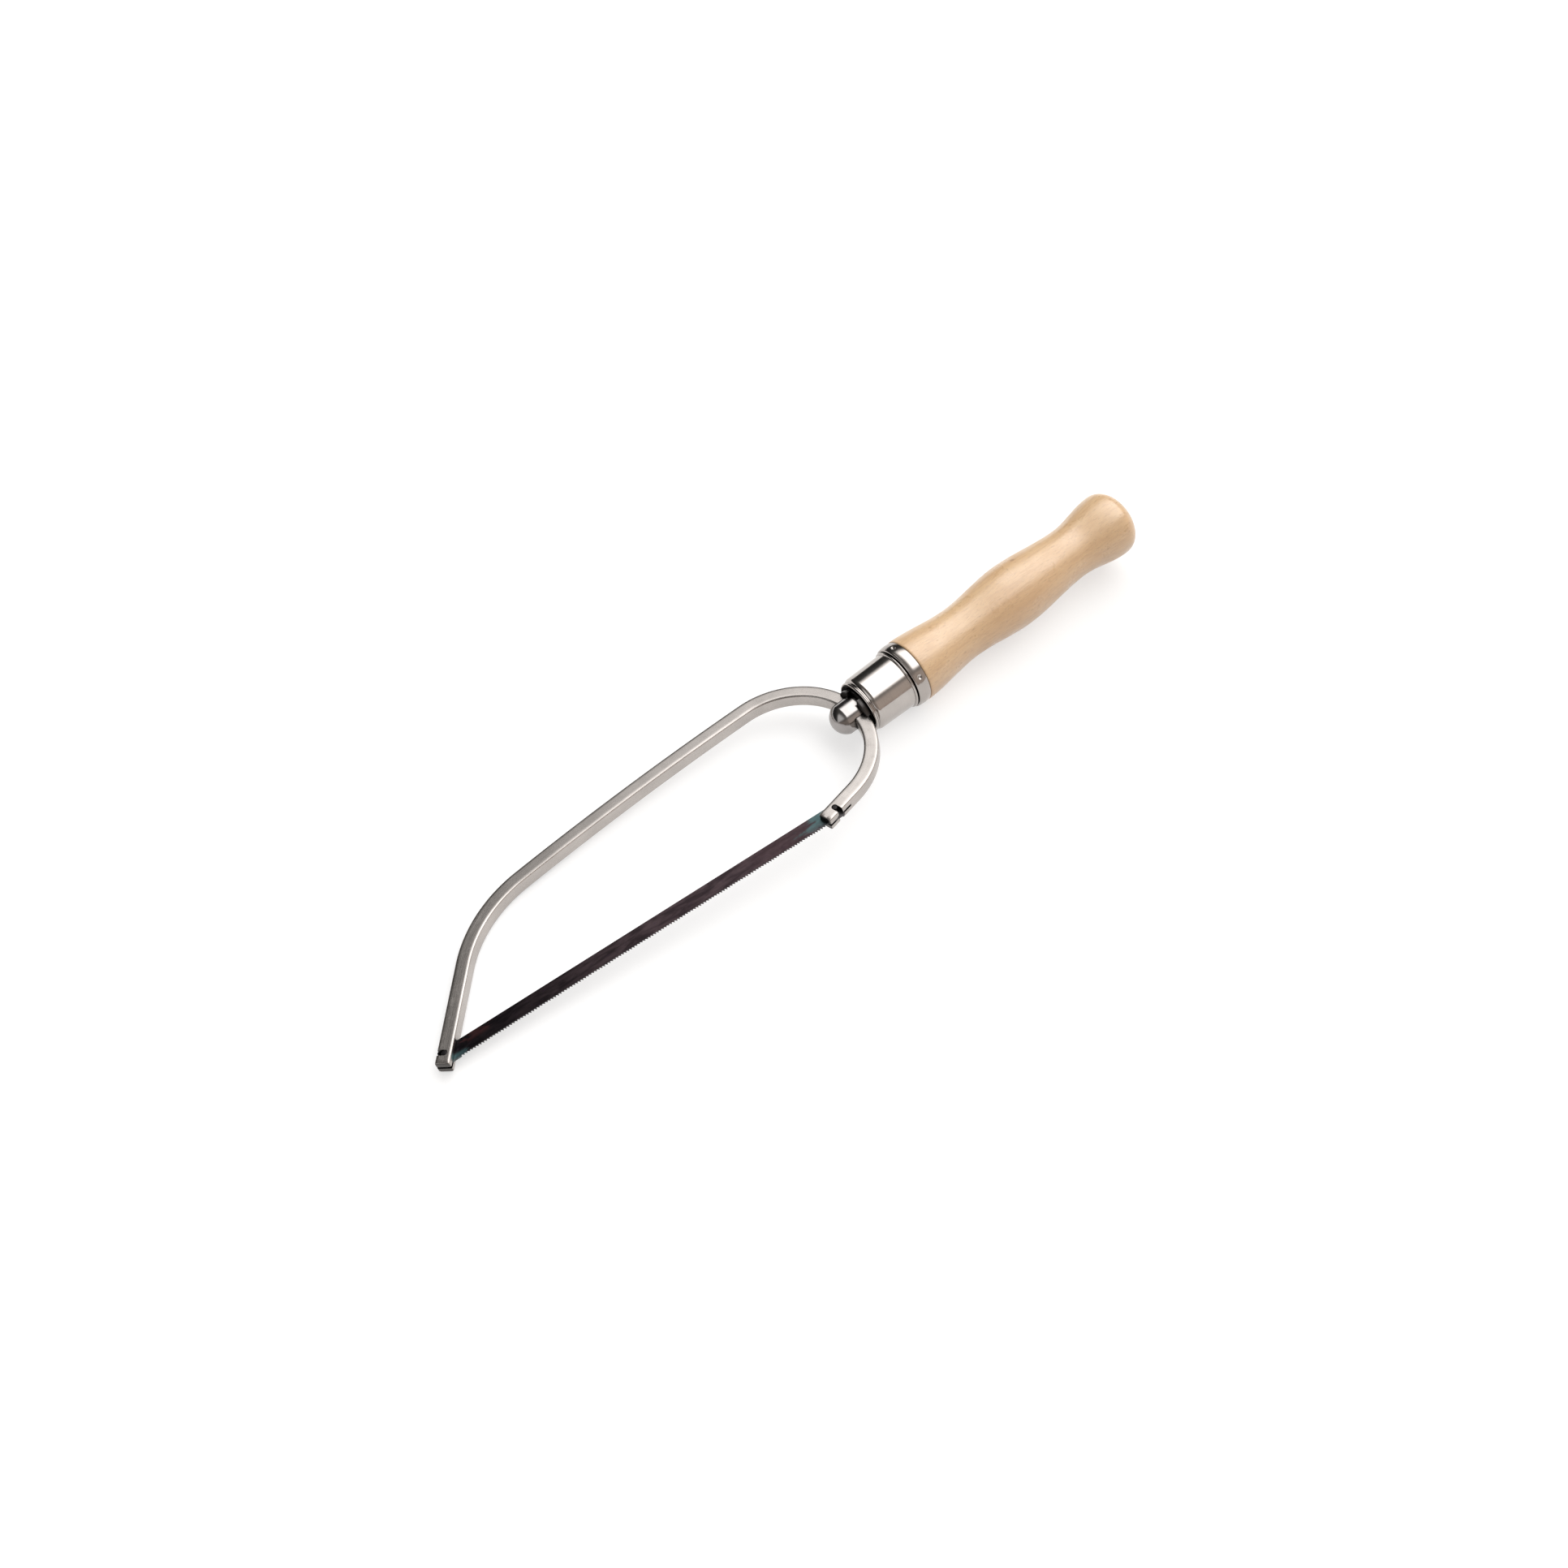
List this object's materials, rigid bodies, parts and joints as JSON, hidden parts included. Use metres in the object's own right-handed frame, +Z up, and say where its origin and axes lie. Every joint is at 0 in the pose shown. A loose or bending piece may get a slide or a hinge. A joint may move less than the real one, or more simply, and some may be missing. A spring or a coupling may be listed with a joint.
{
  "type": "pinned-blade bow saw",
  "caption": "Small bow saw: fine-toothed pinned blade held in a bent square-bar bow, which swings in a screw clamp at the front of a turned wooden handle.",
  "frame": {"origin": "centre of the bounding box in plan, on the level surface the saw lies on", "axes": "+Z up from the surface, +X in plan along the handle from the blade towards the handle's end, +Y towards the arm of the bow"},
  "size_m": [0.3062, 0.0626, 0.0286],
  "materials": {
    "plated_bar": "nickel plate, lengthwise brushed",
    "plated_clamp": "polished nickel plate",
    "plated_ferrule": "nickel plate, polished",
    "blued_steel": "hardened and blued, with temper colours near the ends",
    "pin_steel": "bright drawn",
    "plain_steel": "turned, unplated",
    "beech": "clear satin lacquer"
  },
  "bodies": {
    "bow": {"bow": "plated_bar", "saw_blade": "blued_steel", "blade_pin_front": "pin_steel", "blade_pin_rear": "pin_steel"},
    "bolt": {"draw_bolt": "plated_clamp"},
    "clamp": {"clamp_crown": "plated_clamp", "clamp_sleeve": "plated_clamp", "thrust_washer": "plain_steel"},
    "handle": {"handle_nut": "plain_steel", "ferrule": "plated_ferrule", "wooden_handle": "beech"}
  },
  "joints": [
    {"name": "bow_swing", "type": "hinge", "parent": "bow", "child": "bolt", "pos_m": [0.00031, 0.0009, 0.0096], "axis": [-0.0474, 0.0734, 0.9962], "range_deg": [-55, 65]},
    {"name": "clamp_travel", "type": "slide", "parent": "bolt", "child": "clamp", "axis": [0.9989, 0, 0.0476], "range_m": [0, 0.0025]},
    {"name": "handle_turn", "type": "hinge", "parent": "clamp", "child": "handle", "pos_m": [0.04786, 0.0009, 0.01186], "axis": [0.9989, 0, 0.0476], "range_deg": [0, 721]}
  ],
  "couplings": [
    {"joint": "handle_turn", "follows": "clamp_travel", "rad_per_m": 5026.6}
  ]
}
